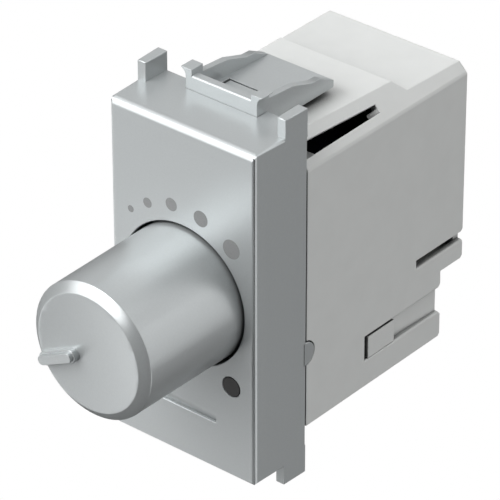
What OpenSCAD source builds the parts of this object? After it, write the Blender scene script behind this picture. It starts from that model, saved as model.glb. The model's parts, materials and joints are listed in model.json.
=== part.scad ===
// Rotary dimmer module for a 45 mm modular wall frame, in millimetres.
// X is to the right and Z is up, seen from the room. Y goes into the wall.
// The origin is on the knob's axis, in the plane where the plate's tabs meet the wall frame.

/* [Front plate] */
// Width of the plate at its rim
plate_w = 22.4; // [21.5:0.1:26]
// Height of the plate without its tabs
plate_h = 45; // [43:0.5:52]
// Depth of the plate from its face to the rear of its tabs
plate_d = 9; // [8.4:0.1:11]
// How much each side leans in from the rim to the face
plate_draft = 0.35; // [0:0.05:0.5]
// Thickness of the face
face_wall = 1.6; // [1.2:0.1:2]
// Thickness of the plate's sides at the rim
rim_wall = 1.4; // [1.1:0.1:1.8]
// Radius of the face's top edge
top_edge_r = 1; // [0.3:0.1:1.2]
// Radius of the face's bottom edge
bottom_edge_r = 0.3; // [0.1:0.05:0.8]
// Radius of the face's upright side edges
side_edge_r = 0.5; // [0.2:0.05:0.8]
// Radius of the edges between the plate's sides and its top and bottom
corner_edge_r = 0.4; // [0.1:0.05:0.6]
// Width of a corner tab
tab_w = 1.4; // [1:0.1:2]
// Depth of a corner tab
tab_d = 3.8; // [2.5:0.1:5]
// How far a corner tab stands past the plate
tab_h = 2.5; // [1.5:0.1:3.5]
// How far the tabs' rear faces stand behind the rim
tab_proud = 0.1; // [0.05:0.05:0.3]
// Radius of the keying ears on the rim
ear_r = 1.55; // [1:0.05:2]
// How far the ears are below the knob's axis
ear_drop = 8.3; // [5:0.1:12]
// Clearance round the ears in the housing
ear_gap = 0.15; // [0.1:0.05:0.3]
// Width of the recess under the knob
recess_w = 9.8; // [6:0.1:12]
// Height of the recess
recess_h = 1.3; // [0.8:0.1:2]
// How far the recess's top edge is below the knob's axis
recess_drop = 14.7; // [13.5:0.1:18]
// Depth of the recess at its lower ledge
recess_d = 0.4; // [0.2:0.05:0.8]

/* [Indicator] */
// Distance from the lens's centre to the plate's right side
lens_side = 3.9; // [3.6:0.1:5]
// How far the lens is below the knob's axis
lens_drop = 9.95; // [9.6:0.05:14]
// Radius of the lens on the face
lens_r = 1.29; // [1:0.02:1.6]

/* [Release latch] */
// Width of the latch's strip and lever
latch_w = 10.7; // [9:0.1:12]
// Thickness of the strip
latch_t = 1.1; // [0.8:0.1:1.5]
// How far the strip's front is ahead of the rim
latch_set = 1.95; // [1.6:0.05:2.4]
// How far the strip stands above the plate
latch_rise = 1.9; // [1.2:0.1:2.5]
// Radius of the strip's front edge along its top
strip_edge_r = 0.25; // [0.1:0.05:0.4]
// Width of a hook at the strip's end
hook_w = 0.9; // [0.7:0.05:1.2]
// How far a hook stands above the strip
hook_rise = 0.75; // [0.4:0.05:1.2]
// How far a hook flares out past the strip
hook_flare = 0.7; // [0.3:0.05:1]
// Radius of the hollow curve under a hook's flare
hook_curve_r = 1.1; // [1:0.05:1.4]
// Depth of a hook along the wall
hook_d = 2.05; // [1.5:0.05:2.6]
// How far the lever reaches behind the rim
lever_l = 12; // [10:0.1:14]
// Thickness of the lever's side walls and floor
lever_t = 0.9; // [0.7:0.05:1.1]
// Gap between the lever's underside and the housing at the plate
lever_gap = 0.55; // [0.4:0.05:0.8]
// How far the latch's flexing root is below the plate's top
latch_root = 6.5; // [5:0.1:8]
// Gap round the strip in the plate
latch_gap = 0.04; // [0.03:0.01:0.1]

/* [Knob] */
// Width of the face left on each side of the knob's hole
face_side = 1.9; // [1.6:0.05:2.6]
// How much smaller the knob's radius is at its chamfer than at the plate
knob_taper = 0.15; // [0:0.05:0.4]
// Width of the knob's front chamfer
knob_chamfer_w = 1.2; // [0.4:0.05:1.8]
// How far the knob stands out of the plate
knob_reach = 16.6; // [13:0.1:20]
// Length of the knob's front chamfer
knob_chamfer = 0.9; // [0.4:0.05:1.5]
// Gap round the knob in the plate
knob_gap = 0.35; // [0.25:0.05:0.6]
// Thickness of the knob's skirt
knob_wall = 1.25; // [1:0.05:1.5]
// Thickness of the knob's front
knob_front_wall = 2; // [1.5:0.1:3]
// Radius of the knob's hub
knob_hub_r = 4.3; // [4:0.05:4.8]
// Length of the pointer rib
pointer_l = 6; // [4:0.1:6.2]
// Width of the pointer rib at its foot
pointer_w = 1.7; // [1.2:0.05:2]
// How far the pointer rib's upper tier stands inside its foot
pointer_inset = 0.25; // [0.1:0.05:0.4]
// How far the pointer rib stands out of the knob's front
pointer_h = 1; // [0.5:0.05:1.5]
// Distance from the knob's axis to the pointer's inner end
pointer_start = 1.9; // [1:0.1:2]
// Angle of the pointer at rest, from the right and counter-clockwise
pointer_angle = 206; // [196:1:224]

/* [Shaft and potentiometer] */
// Radius of the control shaft
shaft_r = 3; // [2.6:0.05:3.1]
// Depth of the flat along the shaft
shaft_flat = 0.8; // [0.5:0.05:1.2]
// Radial clearance of a turning or sliding fit
fit_gap = 0.04; // [0.02:0.01:0.08]
// Clearance round parts that are dropped into place
drop_gap = 0.1; // [0.05:0.01:0.2]
// How far the knob can be pushed in
press_travel = 1.5; // [1:0.1:2]
// Turning angle of the control
turn_range = 270; // [240:5:280]
// Outer radius of the threaded bushing
bushing_r = 4.5; // [4.2:0.05:4.8]
// How far the bushing stands out of the carrier
bushing_out = 3; // [2.8:0.1:3.6]
// Width of the nut across its flats
nut_af = 11; // [10.5:0.1:12]
// Thickness of the nut
nut_t = 2; // [1.5:0.1:2.2]
// Outer radius of the washer under the nut
washer_r = 6.6; // [6:0.1:7]
// Thickness of the washer
washer_t = 0.5; // [0.3:0.05:0.6]
// Gap on each side of the potentiometer in the carrier's rim
pot_side_gap = 0.5; // [0.3:0.05:0.8]
// Depth of the potentiometer with its front flange
pot_d = 6.4; // [6:0.1:7]
// Thickness of the potentiometer's metal flange
pot_flange = 0.8; // [0.6:0.05:1]
// Thickness of the potentiometer's rear wall
pot_rear = 1; // [0.8:0.05:1.3]
// Thickness of the potentiometer's sides at its round chamber
pot_side_wall = 1; // [0.8:0.05:1.3]
// Radius of the rotor's hub
rotor_hub_r = 3.9; // [3.7:0.05:4.1]
// Thickness of the rotor's disc
rotor_t = 1.8; // [1.4:0.1:2.1]
// Thickness of the resistive track
track_t = 0.25; // [0.15:0.05:0.4]
// Distance from the track to the rotor's hub and to the chamber's side
track_margin = 0.55; // [0.4:0.05:0.8]
// How far the turning stop stands in from the chamber's side
stop_h = 0.65; // [0.4:0.05:0.8]

/* [Push switch] */
// How far the switch's sides stand inside the potentiometer's
switch_set = 1.7; // [1.5:0.1:2.2]
// Thickness of the switch's walls
switch_wall = 0.9; // [0.7:0.05:1.1]
// Radius of the plunger's rear stem
stem_r = 2; // [1.7:0.05:2.1]
// Thickness of the plunger's flange
plunger_flange = 1; // [0.8:0.05:1.2]
// Radius of the spring's wire
spring_wire_r = 0.22; // [0.18:0.01:0.28]
// Number of turns of the spring
spring_turns = 4; // [3:1:6]
// Thickness of the moving contact
bridge_t = 0.4; // [0.3:0.05:0.5]
// Radius of a fixed contact
contact_r = 0.8; // [0.6:0.05:0.9]
// Height of the moving contact above and below the axis
bridge_half_h = 3.4; // [2.6:0.1:4]

/* [Housing] */
// How far the housing's sides stand inside the plate's
housing_inset = 0.1; // [0:0.05:0.3]
// Open seam between the plate's rim and the housing
seam = 0.2; // [0.1:0.05:0.3]
// Wall thickness of the housing
housing_wall = 1.1; // [0.9:0.05:1.3]
// Depth of the housing's upper part behind the plate's rim
housing_d = 30.4; // [29.4:0.1:34]
// How far the lower part is shorter than the upper part
lower_step = 4.2; // [3.5:0.1:5]
// How far the housing's underside is below the knob's axis
housing_drop = 18.7; // [18:0.1:19.5]
// Height of the side faces above the knob's axis
side_top = 16.5; // [15.5:0.1:17]
// Height of the top face at the plate above the knob's axis
top_front = 19.85; // [19.4:0.05:20.2]
// How far the front part of the top face falls towards the step
top_fall = 0.6; // [0.2:0.05:1]
// Length of the low rear part of the top face
rear_top_l = 10; // [8:0.1:14]
// Length of the step's slope
step_run = 1.4; // [0.8:0.1:2]
// Height of the step's slope
step_drop = 1.33; // [0.8:0.05:1.5]
// How far the rear part of the top face falls
rear_fall = 0.22; // [0:0.02:0.4]
// Height of the raised pad round the screw holes on the underside
pad_h = 0.45; // [0.2:0.05:0.8]
// How far the pad's sides stand inside the housing's
pad_inset = 0.4; // [0.2:0.05:1]
// Size of the small chamfers on the rear corners
corner = 0.45; // [0.2:0.05:0.8]
// Length of the wedge-shaped vent slot in each top chamfer
vent_l = 14.8; // [10:0.1:18]
// Width of the vent slot at the plate
vent_front_w = 2.05; // [1.4:0.05:2.4]
// Width of the vent slot at its closed end
vent_rear_w = 1.1; // [0.6:0.05:1.4]
// Distance along the chamfer from the side face to the slot's lower edge
vent_margin = 1.25; // [0.8:0.05:1.6]
// How far the slot's lower edge climbs towards its closed end
vent_climb = 0.15; // [0:0.05:0.8]
// Length of the ramp at the slot's closed end
vent_ramp = 1.2; // [0.6:0.1:2.5]
// Width of that ramp, along the slot's lower edge
vent_ramp_w = 0.6; // [0.4:0.05:0.8]
// Length of the slit in each side from the housing's rear
slit_l = 9.1; // [6:0.1:9.8]
// How far the slit's upper face is below the knob's axis
slit_drop = 5.6; // [5:0.1:6.2]
// Height of the slit
slit_h = 1.1; // [0.8:0.05:1.4]
// How far the slit's floor reaches in from each side
slit_depth = 0.7; // [0.5:0.05:0.9]
// How far the dark pocket behind the slit's floor reaches in from each side
slit_pocket_depth = 3; // [2:0.1:4]
// Thickness left under that pocket
slit_pocket_floor = 0.4; // [0.3:0.05:0.6]
// Size of the chamfers where the slit leaves the housing at the rear
slit_flare = 0.25; // [0.1:0.05:0.4]
// Thickness of the ledge under the slit
ledge_t = 1.2; // [1:0.05:1.4]
// Height of the ledge's side wings with the ledge
wing_h = 2.7; // [2:0.1:3.2]
// Where the side windows start behind the plate's rim
window_y = 11.4; // [10.8:0.1:12]
// Length of a side window
window_l = 6.1; // [5:0.1:6.5]
// Height of a side window and its channel
window_h = 3.4; // [2.8:0.1:3.8]
// How far a side window's top edge is below the knob's axis
window_drop = 11.6; // [11.3:0.1:12]
// Depth of the channel behind each window, at the window
channel_front_t = 0.75; // [0.5:0.05:0.9]
// Depth of that channel at the housing's rear
channel_rear_t = 0.45; // [0.3:0.05:0.7]
// Gap in front of each locking tooth in its window
tooth_front_gap = 0.6; // [0.3:0.05:0.8]
// Gap behind each locking tooth in its window
tooth_rear_gap = 0.45; // [0.2:0.05:0.6]

/* [Carrier] */
// Thickness of the carrier's wall
chassis_wall = 1.8; // [1.4:0.1:2]
// How deep the carrier's rim sits in the housing
chassis_rim_d = 5; // [3.5:0.1:6]
// Thickness of the carrier's rim
chassis_rim_t = 1.2; // [1:0.05:1.5]

/* [Circuit board] */
// Thickness of the board
board_t = 1.6; // [1.2:0.1:1.8]
// Thickness of the heat sink
sink_t = 1.2; // [1:0.05:1.5]
// Height of the heat sink's folded edges
sink_fold = 3; // [2:0.1:4]
// Width of the power transistor
transistor_w = 8; // [7:0.1:9]
// Length of the power transistor
transistor_l = 10; // [9:0.1:10.8]
// Thickness of the power transistor
transistor_t = 3.2; // [2.8:0.1:3.4]
// Depth of the choke over its winding
choke_d = 6.2; // [5:0.1:6.3]
// Thickness of the winding over the core
winding_t = 0.9; // [0.6:0.05:1.1]
// Inner radius of the choke's core
core_bore_r = 3.2; // [2.8:0.1:3.6]
// Height of the film capacitor
film_h = 12; // [10:0.1:12.4]
// Depth of the film capacitor
film_d = 10; // [8:0.1:11]
// Radius of the electrolytic capacitor
elco_r = 3.15; // [2.5:0.05:3.2]
// Width of the fuse
fuse_w = 4; // [3.5:0.1:4.2]
// Radius of the varistor's disc
varistor_r = 3.4; // [3:0.1:3.5]

/* [Terminals] */
// Number of terminals
terminal_count = 3; // [2:1:3]
// Distance from the board to the clamps
lead_l = 0.7; // [0.5:0.1:1.5]
// Thickness of the block's walls beside the outer clamps
cage_wall = 0.4; // [0.3:0.05:0.6]
// Radius of a wire entry
wire_r = 1.7; // [1.4:0.05:1.9]
// Thickness of the block's wall with the wire entries
block_rear_wall = 3; // [2.5:0.1:3.4]
// Width of a clamp
clamp_w = 4.4; // [4:0.1:4.6]
// Depth of a clamp along the wire
clamp_d = 5.2; // [4.8:0.1:5.4]
// Height of a clamp
clamp_h = 6.2; // [5.8:0.1:6.4]
// Thickness of a clamp's upper and side walls
clamp_t = 0.7; // [0.5:0.05:0.8]
// Thickness of a clamp's threaded bottom
clamp_thread_t = 1.6; // [1.2:0.1:1.8]
// Radius of a terminal screw's shank
screw_r = 1.2; // [1:0.05:1.3]
// Radius of a terminal screw's head
screw_head_r = 1.9; // [1.7:0.05:2]
// Thickness of a locking arm
arm_t = 0.8; // [0.6:0.05:1]

/* [Hidden] */
$fn = 64;
// Overlap that a cut has past the face it opens
cut = 1;

// Plate
half_w = plate_w / 2;
half_h = plate_h / 2;
face_y = -plate_d;
face_back_y = face_y + face_wall;
rim_y = -tab_proud;
cavity_x = half_w - rim_wall;
cavity_z = half_h - rim_wall;
knob_hole_r = half_w - face_side;

// Clearance between neighbours that carry nothing
part_gap = 0.4;

// Knob and shaft
knob_r = knob_hole_r - knob_gap;
knob_front_r = knob_r - knob_taper;
knob_flat_r = knob_front_r - knob_chamfer_w;
knob_front_y = face_y - knob_reach;
knob_rear_y = -chassis_wall - press_travel - 1.2;
bushing_front_y = -chassis_wall - bushing_out;
hub_rear_y = bushing_front_y - press_travel - 1.5;
shaft_front_y = knob_front_y + knob_front_wall + 2;
plunger_front_y = pot_d + 0.4;
shaft_rear_y = plunger_front_y - 0.02;
shaft_hole_r = shaft_r + fit_gap;
clip_set = 3.5;
clip_y = hub_rear_y - clip_set;
clip_w = 2;
clip_t = 0.5;
rib_set = 5;
knob_rib_rear_y = hub_rear_y - rib_set;

// Housing
hw = half_w - housing_inset;
ihw = hw - housing_wall;
lower_d = housing_d - lower_step;
top_step = top_front - top_fall;
top_rear = top_step - step_drop;
floor_z = -housing_drop + housing_wall;
chamfer_sum = hw + side_top;
inner_chamfer_sum = chamfer_sum - housing_wall * sqrt(2);
ledge_top = -slit_drop - slit_h;
ledge_under = ledge_top - ledge_t;
wing_z = ledge_top - wing_h;
slit_y = housing_d - slit_l;
step_y = housing_d - rear_top_l - step_run;
chamber_floor = -slit_drop + housing_wall;
window_z0 = -window_drop - window_h;
vent_y0 = seam - cut;

// Carrier
chassis_top = half_h - latch_root - 0.4;
latch_pivot_z = half_h - latch_root;
chassis_rim_x = ihw - drop_gap;
chassis_inner_x = chassis_rim_x - chassis_rim_t;

// Terminal block
block_half_w = ihw - drop_gap;
neck_x = block_half_w - arm_t - part_gap;
terminal_pitch = (2 * (neck_x - cage_wall - drop_gap) - clamp_w) / (terminal_count - 1);
block_z0 = floor_z + drop_gap;
block_z1 = ledge_under - 0.2;
block_y1 = lower_d - 0.2;
cage_y1 = block_y1 - block_rear_wall - drop_gap;
cage_y0 = cage_y1 - clamp_d;
cage_top = block_z1 - 1.1;
cage_z0 = cage_top - clamp_h;
wire_z = cage_top - clamp_t - wire_r;
screw_y = (cage_y0 + cage_y1) / 2;
screw_head_top = cage_z0 - 0.2;
screw_head_z0 = block_z0 + 0.2;
access_r = screw_head_r + 0.15;
pad_y0 = screw_y - access_r - 0.6;
pad_y1 = screw_y + access_r + 0.25;
tooth_y0 = window_y + tooth_front_gap;
tooth_y1 = window_y + window_l - tooth_rear_gap;
tooth_z0 = window_z0 + 0.05;
tooth_z1 = -window_drop - 0.3;

// Board
board_y1 = cage_y0 - lead_l;
board_y0 = board_y1 - board_t;
block_y0 = board_y1 + 0.1;
arm_rear_y = board_y1 + 2.8;

// Potentiometer
pot_w = 2 * (chassis_inner_x - pot_side_gap);
pot_chamber_r = pot_w / 2 - pot_side_wall;
track_w = pot_chamber_r - rotor_hub_r - 2 * track_margin;
track_r = (pot_chamber_r + rotor_hub_r) / 2;
stop_r = pot_chamber_r - stop_h;
rotor_disc_r = stop_r - 0.2;
pot_back_y = pot_d - pot_rear;
track_y = pot_back_y - track_t;
rotor_y = pot_flange + 0.2;
rotor_disc_y = rotor_y + rotor_t;
stop_half_angle = (360 - turn_range) / 5;
lug_half_angle = (360 - turn_range) / 4;

// Push switch
switch_w = pot_w - 2 * switch_set;
switch_inner = switch_w / 2 - switch_wall;
switch_cavity_y0 = pot_d + switch_wall;
switch_cavity_y1 = board_y0 - switch_wall;
flange_y = switch_cavity_y0 + 0.2;
plunger_flange_r = shaft_r + 1.3;
bridge_y = flange_y + plunger_flange;
spring_y0 = bridge_y + bridge_t;
spring_y1 = switch_cavity_y1;
spring_r = stem_r + spring_wire_r + 0.15;
contact_tip_y = spring_y0 + press_travel + 0.05;
contact_x = switch_inner - contact_r - 0.2;
bridge_half_w = contact_x + contact_r - 0.2;

// What the board carries, in a row above the switch and a row below the heat sink
board_half_w = ihw - 2 * drop_gap;
board_bottom = -window_drop + 1.2;
rail_y0 = board_y1 + drop_gap / 2;
rail_d = 1;
rail_w = 0.7;
sink_top = top_rear - rear_fall - housing_wall - drop_gap;
sink_z = sink_top - sink_t;
sink_half_w = ihw - 1.4;
board_top = sink_top - 0.1;
sink_rear_y = housing_d - housing_wall - 0.2;
transistor_y = board_y1 + 1.6;
transistor_z0 = sink_z - transistor_t;
transistor_screw_r = 1.45;
transistor_hole_r = transistor_screw_r + 0.15;
transistor_head_r = 2.6;
transistor_head_h = 1.6;
transistor_hole_y = transistor_y + transistor_l - transistor_head_r;
lower_row_z = chamber_floor + 0.9;
choke_r = (transistor_z0 - transistor_head_h - drop_gap - lower_row_z) / 2;
choke_x = -ihw + rail_w + drop_gap + choke_r;
choke_z = lower_row_z + choke_r;
film_x0 = choke_x + choke_r + part_gap;
film_x1 = ihw - rail_w - drop_gap;
upper_row_z = pot_w / 2 - 0.5;
upper_row_d = board_y0 - pot_d - 1.4;
elco_x = -chassis_inner_x + drop_gap + elco_r;
elco_z = upper_row_z + elco_r;
fuse_x = elco_x + elco_r + part_gap;
fuse_h = 7.6;
varistor_x = fuse_x + fuse_w + part_gap;
varistor_t = 3.2;
varistor_z = upper_row_z + varistor_r;
pin_pitch = 4;
pot_pin_z = -(pot_w / 2 + switch_w / 2) / 2;
pot_pin_r = 0.42;

// Indicator
lens_x = half_w - lens_side;
lens_z = -lens_drop;
led_r = 1.5;
led_flange_r = 1.9;
led_flange_t = 0.8;
led_lead_r = 0.22;
led_lead_gap = 1;
lens_flange_t = 0.5;
led_tip_y = face_back_y + lens_flange_t + 0.2;

// Latch
latch_front_y = -latch_set;
latch_back_y = latch_front_y + latch_t;
strip_top = half_h + latch_rise;
hook_top = strip_top + hook_rise;
lever_under = top_front + lever_gap;
lever_floor = lever_under + lever_t;

// Points along an arc, from one angle to another
function arc(cx, cy, r, a0, a1, steps) = [
  for (i = [0:steps])
    let (a = a0 + (a1 - a0) * i / steps)
      [cx + r * cos(a), cy + r * sin(a)]
];

// Terminal positions along X
function terminal_x(i) = (i - (terminal_count - 1) / 2) * terminal_pitch;

// A 2D shape in X and Z, pushed along Y from y0 to y1
module along_y(y0, y1) {
  translate([0, y1, 0])
    rotate([90, 0, 0])
      linear_extrude(height = y1 - y0)
        children();
}

// A 2D shape in Y and Z, pushed along X from x0 to x1
module along_x(x0, x1) {
  translate([x0, 0, 0])
    rotate([90, 0, 90])
      linear_extrude(height = x1 - x0)
        children();
}

// A box between two corners
module block(x, y, z) {
  translate([x[0], y[0], z[0]])
    cube([x[1] - x[0], y[1] - y[0], z[1] - z[0]]);
}

// A cylinder along Y
module rod_y(r, y0, y1, x = 0, z = 0) {
  translate([x, y1, z])
    rotate([90, 0, 0])
      cylinder(h = y1 - y0, r = r);
}

// A cylinder along Z
module rod_z(r, z0, z1, x, y) {
  translate([x, y, z0])
    cylinder(h = z1 - z0, r = r);
}

// A shape turned about the Y axis from its radius and Y profile
module turned_y() {
  rotate([-90, 0, 0])
    rotate_extrude()
      children();
}

// A centred square with round corners
module soft_square(w, h, r) {
  square([w - 2 * r, h], center = true);
  square([w, h - 2 * r], center = true);
  for (x = [-1, 1], z = [-1, 1])
    translate([x * (w / 2 - r), z * (h / 2 - r)])
      circle(r = r);
}

// The left and the right copy of a shape
module both_sides() {
  children();
  mirror([1, 0, 0])
    children();
}

// Plan of the plate: full width at the rim, drawn in at the face
module plate_plan() {
  edge_x = half_w - plate_draft - side_edge_r;
  edge_y = face_y + side_edge_r;
  polygon(concat(
    [[-half_w, 0]],
    arc(-edge_x, edge_y, side_edge_r, 180, 270, 5),
    arc(edge_x, edge_y, side_edge_r, 270, 360, 5),
    [[half_w, 0]]
  ));
}

// What the plate's upper right edge loses to its rounding, along the leaning side
module corner_rounding() {
  r = corner_edge_r;
  translate([half_w, 0, half_h])
    rotate([0, 0, -atan(plate_draft / plate_d)])
      difference() {
        block([-r, cut], [-plate_d - cut, cut], [-r, cut]);
        rod_y(r, -plate_d - 2 * cut, 2 * cut, -r, -r);
      }
}

// Side view of the plate with its two rounded front edges
module plate_side() {
  polygon(concat(
    [[rim_y, -half_h]],
    [[rim_y, half_h]],
    arc(face_y + top_edge_r, half_h - top_edge_r, top_edge_r, 90, 180, 8),
    arc(face_y + bottom_edge_r, -half_h + bottom_edge_r, bottom_edge_r, 180, 270, 4)
  ));
}

// Fixed claw under the plate, the same shape as the latch's strip and hooks
module lower_claw() {
  translate([0, 0, -half_h])
    mirror([0, 0, 1]) {
      strip(0, latch_rise);
      both_sides()
        hook(0, latch_rise);
    }
}

// Strip across the plate from z0 to z1, its front edge rounded along its top
module strip(z0, z1) {
  along_x(-latch_w / 2, latch_w / 2)
    polygon(concat(
      [[latch_back_y, z1], [latch_back_y, z0], [latch_front_y, z0]],
      arc(latch_front_y + strip_edge_r, z1 - strip_edge_r, strip_edge_r, 180, 90, 4)
    ));
}

// One flared hook on the right end of a strip that rises from z0 by h
module hook(z0, h) {
  x = latch_w / 2;
  top = z0 + h + hook_rise;
  a = acos(hook_flare / hook_curve_r - 1);
  lip = 0.08;
  curve_z = top - lip - hook_curve_r * sin(a);
  along_y(latch_front_y, latch_front_y + hook_d)
    polygon(concat(
      [[x - hook_w, top], [x - hook_w, z0], [x, z0]],
      arc(x + hook_curve_r, curve_z, hook_curve_r, 180, a, 5),
      [[x + hook_flare, top]]
    ));
}

// Right keying ear: half a disc behind the rim, with a root inside the plate
module ear_outline() {
  root = 0.3;
  polygon(concat(
    [[rim_y - root, -ear_drop + ear_r], [rim_y - root, -ear_drop - ear_r]],
    arc(0, -ear_drop, ear_r, -90, 90, 24)
  ));
}

module front_plate() {
  notch = latch_w / 2 + latch_gap;
  color([0.69, 0.70, 0.71])
    difference() {
      union() {
        difference() {
          intersection() {
            along_x(-half_w, half_w)
              plate_side();
            translate([0, 0, -half_h])
              linear_extrude(height = plate_h)
                plate_plan();
          }
          for (side = [0, 1], end = [0, 1])
            mirror([side, 0, 0])
              mirror([0, 0, end])
                corner_rounding();
        }
        intersection() {
          translate([0, 0, -half_h - tab_h])
            linear_extrude(height = plate_h + 2 * tab_h)
              plate_plan();
          for (x = [-half_w, half_w - tab_w], z = [-half_h - tab_h, half_h - rim_wall])
            block([x, x + tab_w], [-tab_d, 0], [z, z + tab_h + rim_wall]);
        }
        both_sides()
          along_x(ihw, half_w)
            ear_outline();
        lower_claw();
      }
      block([-cavity_x, cavity_x], [face_back_y, ear_r + cut], [-cavity_z, cavity_z]);
      rod_y(knob_hole_r, face_y - cut, face_back_y + cut);
      rod_y(lens_r + fit_gap, face_y - cut, face_back_y + cut, lens_x, lens_z);
      block([-notch, notch], [latch_front_y - latch_gap, cut], [cavity_z - cut, half_h + cut]);
      along_x(-recess_w / 2, recess_w / 2)
        polygon([
          [face_y - cut, -recess_drop],
          [face_y, -recess_drop],
          [face_y + recess_d, -recess_drop - recess_h],
          [face_y - cut, -recess_drop - recess_h]
        ]);
    }
}

module indicator_lens() {
  color([0.16, 0.17, 0.17])
    translate([lens_x, 0, lens_z]) {
      rod_y(lens_r, face_y, face_back_y);
      rod_y(lens_r + 0.5, face_back_y, face_back_y + lens_flange_t);
    }
}

// Side view of the lever: high by the strip, a slope, a level and a low tail
module lever_side() {
  level = lever_floor + 1.3;
  polygon([
    [latch_back_y - 0.1, lever_under + 0.4],
    [0.5, lever_under],
    [lever_l - 0.1, lever_under],
    [lever_l, lever_under + 0.1],
    [lever_l, lever_floor + 0.02],
    [lever_l * 0.785, level],
    [lever_l * 0.67, level + 0.05],
    [lever_l * 0.385, level + 1.15],
    [latch_back_y - 0.1, strip_top - 0.2]
  ]);
}

// Space inside the lever's channel, above its sloping floor
module lever_channel() {
  polygon([
    [latch_back_y, lever_floor + 0.6],
    [lever_l + cut, lever_floor],
    [lever_l + cut, strip_top + cut],
    [latch_back_y, strip_top + cut]
  ]);
}

module release_latch() {
  hx = latch_w / 2;
  inner = hx - lever_t;
  slot_x = inner - 0.55;
  slot_w = 0.45;
  slot_rear = 4.1;
  color([0.70, 0.71, 0.72])
    difference() {
      union() {
        strip(latch_pivot_z, strip_top);
        both_sides()
          hook(half_h, latch_rise);
        difference() {
          along_x(-hx, hx)
            lever_side();
          along_x(-inner, inner)
            lever_channel();
        }
      }
      block([-slot_x, slot_x], [slot_rear - 0.3, slot_rear], [lever_under - cut, strip_top + cut]);
      both_sides()
        block([slot_x - slot_w, slot_x], [latch_back_y + 0.4, slot_rear], [lever_under - cut, strip_top + cut]);
    }
}

// Outer skin of the knob from its rear rim to the flat front
module knob_profile() {
  taper = (knob_r - knob_front_r) / (knob_reach - knob_chamfer);
  rear_r = knob_r + taper * (knob_rear_y - face_y);
  inner_r = knob_r - knob_wall;
  web = knob_front_y + knob_front_wall;
  polygon([
    [0, knob_front_y],
    [knob_flat_r, knob_front_y],
    [knob_front_r, knob_front_y + knob_chamfer],
    [rear_r, knob_rear_y],
    [inner_r, knob_rear_y],
    [inner_r - 0.15, web],
    [knob_hub_r, web],
    [knob_hub_r, hub_rear_y],
    [0, hub_rear_y]
  ]);
}

// Raised rib of two tiers on the knob's front, pointing out from the axis
module pointer() {
  sunk = 0.3;
  tier_y = knob_front_y - pointer_h / 2;
  rotate([0, -pointer_angle, 0])
    translate([pointer_start, 0, 0]) {
      along_y(tier_y, knob_front_y + sunk)
        pointer_outline(0);
      along_y(knob_front_y - pointer_h, tier_y)
        pointer_outline(pointer_inset);
    }
}

// Outline of the rib, drawn in all round by an inset: a bar with round ends
module pointer_outline(inset) {
  w = pointer_w - 2 * inset;
  r = w / 2;
  translate([inset + r, -r])
    square([pointer_l - 2 * inset - w, w]);
  for (x = [inset + r, pointer_l - inset - r])
    translate([x, 0])
      circle(r = r);
}

module rotary_knob() {
  rib_t = 1;
  bridge_z = shaft_r - shaft_flat + fit_gap;
  color([0.66, 0.67, 0.68]) {
    difference() {
      union() {
        turned_y()
          knob_profile();
        for (a = [30, 150, 270])
          rotate([0, a, 0])
            block([knob_hub_r - 0.2, knob_r - knob_wall], [knob_front_y + 1, knob_rib_rear_y], [-rib_t / 2, rib_t / 2]);
      }
      difference() {
        rod_y(shaft_hole_r, shaft_front_y - 0.1, hub_rear_y + cut);
        block([-shaft_r - cut, shaft_r + cut], [shaft_front_y - cut, hub_rear_y + 2 * cut], [bridge_z, shaft_r + cut]);
      }
    }
    pointer();
  }
}

// Open steel ring that squeezes the knob's hub on the shaft
module knob_clip() {
  opening = clip_w / 2;
  color([0.75, 0.76, 0.78])
    difference() {
      rod_y(knob_hub_r + fit_gap + clip_t, clip_y, clip_y + clip_w);
      rod_y(knob_hub_r + fit_gap, clip_y - cut, clip_y + clip_w + cut);
      block([-opening, opening], [clip_y - cut, clip_y + clip_w + cut], [0, knob_hub_r + clip_w]);
    }
}

// Round shaft with one flat along its whole length
module shaft_section(r, flat, y0, y1) {
  difference() {
    rod_y(r, y0, y1);
    block([-r - cut, r + cut], [y0 - cut, y1 + cut], [flat, r + cut]);
  }
}

module control_shaft() {
  color([0.80, 0.80, 0.78])
    shaft_section(shaft_r, shaft_r - shaft_flat, shaft_front_y, shaft_rear_y);
}

module chassis() {
  rim_bottom = floor_z + drop_gap;
  wall_x = cavity_x - drop_gap;
  color([0.85, 0.86, 0.85])
    difference() {
      union() {
        block([-wall_x, wall_x], [-chassis_wall, 0], [-cavity_z + drop_gap, chassis_top]);
        block([-chassis_rim_x, chassis_rim_x], [0, chassis_rim_d], [rim_bottom, chassis_top]);
      }
      block(
        [-chassis_inner_x, chassis_inner_x],
        [0, chassis_rim_d + cut],
        [rim_bottom + chassis_rim_t, chassis_top - chassis_rim_t]
      );
      rod_y(bushing_r + drop_gap, -chassis_wall - cut, cut);
      for (x = [-led_lead_gap, led_lead_gap])
        rod_y(led_lead_r + drop_gap, -chassis_wall - cut, cut, lens_x + x, lens_z);
    }
}

module shaft_bushing() {
  color([0.78, 0.70, 0.45])
    difference() {
      union() {
        rod_y(bushing_r, bushing_front_y, pot_flange);
        along_y(0, pot_flange)
          soft_square(pot_w, pot_w, 1.5);
      }
      rod_y(shaft_hole_r, bushing_front_y - cut, pot_flange + cut);
    }
}

module bushing_washer() {
  color([0.72, 0.73, 0.74])
    difference() {
      rod_y(washer_r, -chassis_wall - washer_t, -chassis_wall);
      rod_y(bushing_r + drop_gap, -chassis_wall - washer_t - cut, -chassis_wall + cut);
    }
}

module bushing_nut() {
  nut_rear = -chassis_wall - washer_t;
  color([0.74, 0.66, 0.42])
    difference() {
      along_y(nut_rear - nut_t, nut_rear)
        circle(r = nut_af / sqrt(3), $fn = 6);
      rod_y(bushing_r + fit_gap, nut_rear - nut_t - cut, nut_rear + cut);
    }
}

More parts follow.
